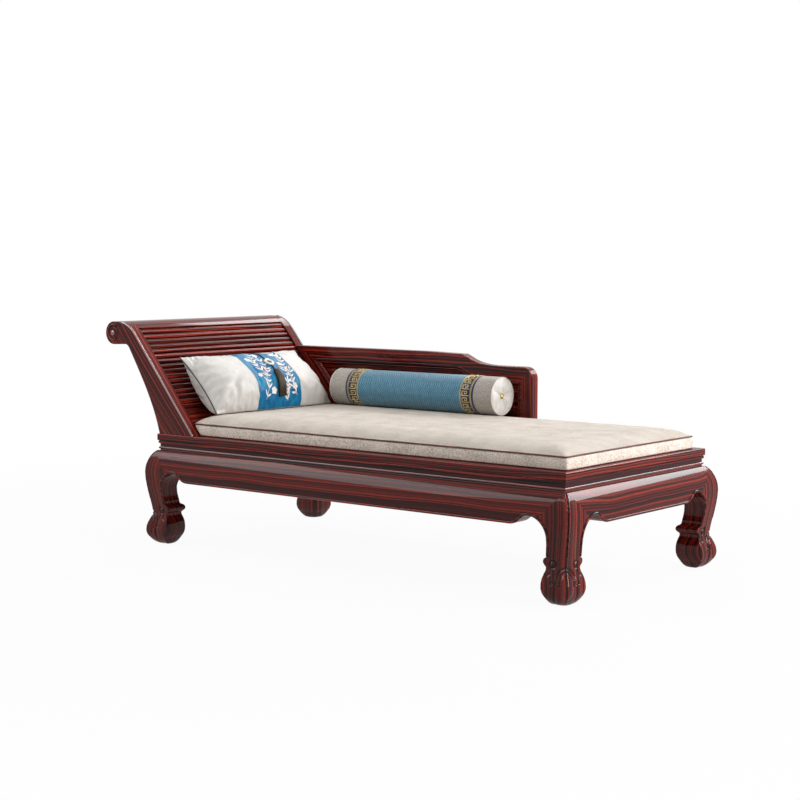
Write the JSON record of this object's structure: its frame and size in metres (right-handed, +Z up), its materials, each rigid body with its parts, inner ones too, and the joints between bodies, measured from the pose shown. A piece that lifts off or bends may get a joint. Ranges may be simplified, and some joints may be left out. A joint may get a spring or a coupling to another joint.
{
  "type": "chinese chaise longue",
  "caption": "Low Chinese day bed with a waisted frame on curled feet, a scrolled slatted headrest, a half-length panelled back and a loose mattress, pillow and bolster.",
  "frame": {"origin": "on the floor, under the middle of the whole day bed's bounding box", "axes": "+X towards the foot end, along the bed's length; +Y towards the long side that has the back panel; +Z up"},
  "size_m": [2.1132, 0.924, 0.8145],
  "materials": {
    "rosewood": "dark red striped rosewood, glossy lacquer",
    "rosewood_light": "lighter red striped rosewood, glossy lacquer",
    "linen": "plain woven cream linen",
    "piping": "dark red-brown satin piping",
    "satin": "pearl grey satin with a blue band",
    "brocade": "teal, navy and gold woven brocade with grey ends",
    "tassel": "dark silk cord and tassel with a pale stone ring",
    "gilt": "gold coloured button"
  },
  "bodies": {
    "bed_frame": {"seat_rail_front": "rosewood", "seat_rail_rear": "rosewood", "seat_rail_head": "rosewood", "seat_rail_foot": "rosewood", "seat_panel": "rosewood_light", "batten_1": "rosewood", "batten_2": "rosewood", "batten_3": "rosewood", "batten_4": "rosewood", "waist_front": "rosewood", "waist_rear": "rosewood", "waist_head": "rosewood", "waist_foot": "rosewood", "bead_front": "rosewood_light", "bead_rear": "rosewood_light", "bead_head": "rosewood_light", "bead_foot": "rosewood_light", "apron_front": "rosewood", "apron_rear": "rosewood", "apron_head": "rosewood", "apron_foot": "rosewood", "leg_front_head": "rosewood", "leg_front_foot": "rosewood", "leg_rear_head": "rosewood", "leg_rear_foot": "rosewood", "stile_front": "rosewood", "stile_rear": "rosewood", "head_roll": "rosewood", "head_rail": "rosewood", "slat_1": "rosewood_light", "slat_2": "rosewood", "slat_3": "rosewood_light", "slat_4": "rosewood", "slat_5": "rosewood_light", "slat_6": "rosewood", "slat_7": "rosewood_light", "slat_8": "rosewood", "slat_9": "rosewood_light", "slat_10": "rosewood", "slat_11": "rosewood_light", "slat_12": "rosewood", "slat_13": "rosewood_light", "slat_14": "rosewood", "slat_15": "rosewood_light", "slat_16": "rosewood", "slat_17": "rosewood_light", "slat_18": "rosewood", "slat_19": "rosewood_light", "back_head_stile": "rosewood", "back_top_rail": "rosewood", "back_foot_post": "rosewood", "back_base_rail": "rosewood", "back_panel": "rosewood_light"},
    "mattress": {"mattress": "linen", "mattress_piping": "piping"},
    "pillow": {"pillow": "satin", "pillow_pendant": "tassel"},
    "bolster": {"bolster": "brocade", "bolster_buttons": "gilt"}
  },
  "joints": [
    {"name": "mattress_lift", "type": "slide", "parent": "bed_frame", "child": "mattress", "axis": [0, 0, 1], "range_m": [0, 0.5]},
    {"name": "pillow_lift", "type": "slide", "parent": "mattress", "child": "pillow", "axis": [0, 0, 1], "range_m": [0, 0.5]},
    {"name": "bolster_lift", "type": "slide", "parent": "mattress", "child": "bolster", "axis": [0, 0, 1], "range_m": [0, 0.5]}
  ]
}
